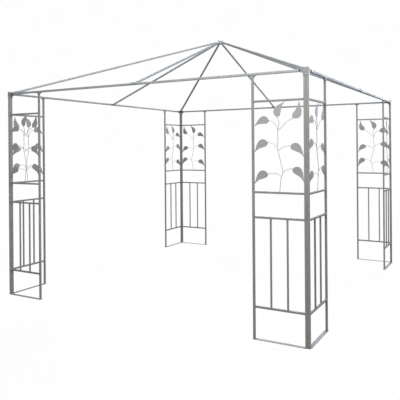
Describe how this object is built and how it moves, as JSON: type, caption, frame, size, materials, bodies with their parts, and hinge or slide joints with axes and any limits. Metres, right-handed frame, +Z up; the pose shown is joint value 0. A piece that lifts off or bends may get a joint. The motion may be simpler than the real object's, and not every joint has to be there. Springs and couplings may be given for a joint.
{
  "type": "gazebo frame",
  "caption": "Bare square garden gazebo frame: corner panels with leaf ornaments, eaves beams and a low hipped roof of tube rafters, no cover.",
  "frame": {"origin": "middle of the plan at ground level", "axes": "+Z up, +X along the front from left to right as seen from outside, +Y from front to back"},
  "size_m": [3.012, 3.012, 2.54],
  "materials": {
    "lower_frame": "satin silver grey powder coat",
    "upper_frame": "satin silver grey powder coat",
    "leaf_ornament": "satin silver grey powder coat",
    "beam": "satin silver grey powder coat",
    "connector": "satin silver grey powder coat",
    "hip_rafter": "satin silver grey powder coat",
    "mid_rafter": "satin silver grey powder coat",
    "hub": "satin silver grey powder coat"
  },
  "bodies": {
    "root": {"front_left_lower_frame": "lower_frame", "front_left_upper_frame": "upper_frame", "front_left_leaf_ornament": "leaf_ornament", "front_left_beam": "beam", "front_right_lower_frame": "lower_frame", "front_right_upper_frame": "upper_frame", "front_right_leaf_ornament": "leaf_ornament", "front_right_beam": "beam", "front_right_connector": "connector", "front_right_hip_rafter": "hip_rafter", "front_mid_rafter": "mid_rafter", "right_front_lower_frame": "lower_frame", "right_front_upper_frame": "upper_frame", "right_front_leaf_ornament": "leaf_ornament", "right_front_beam": "beam", "right_back_lower_frame": "lower_frame", "right_back_upper_frame": "upper_frame", "right_back_leaf_ornament": "leaf_ornament", "right_back_beam": "beam", "back_right_connector": "connector", "back_right_hip_rafter": "hip_rafter", "right_mid_rafter": "mid_rafter", "back_right_lower_frame": "lower_frame", "back_right_upper_frame": "upper_frame", "back_right_leaf_ornament": "leaf_ornament", "back_right_beam": "beam", "back_left_lower_frame": "lower_frame", "back_left_upper_frame": "upper_frame", "back_left_leaf_ornament": "leaf_ornament", "back_left_beam": "beam", "back_left_connector": "connector", "back_left_hip_rafter": "hip_rafter", "back_mid_rafter": "mid_rafter", "left_back_lower_frame": "lower_frame", "left_back_upper_frame": "upper_frame", "left_back_leaf_ornament": "leaf_ornament", "left_back_beam": "beam", "left_front_lower_frame": "lower_frame", "left_front_upper_frame": "upper_frame", "left_front_leaf_ornament": "leaf_ornament", "left_front_beam": "beam", "front_left_connector": "connector", "front_left_hip_rafter": "hip_rafter", "left_mid_rafter": "mid_rafter", "roof_hub": "hub"}
  },
  "joints": []
}
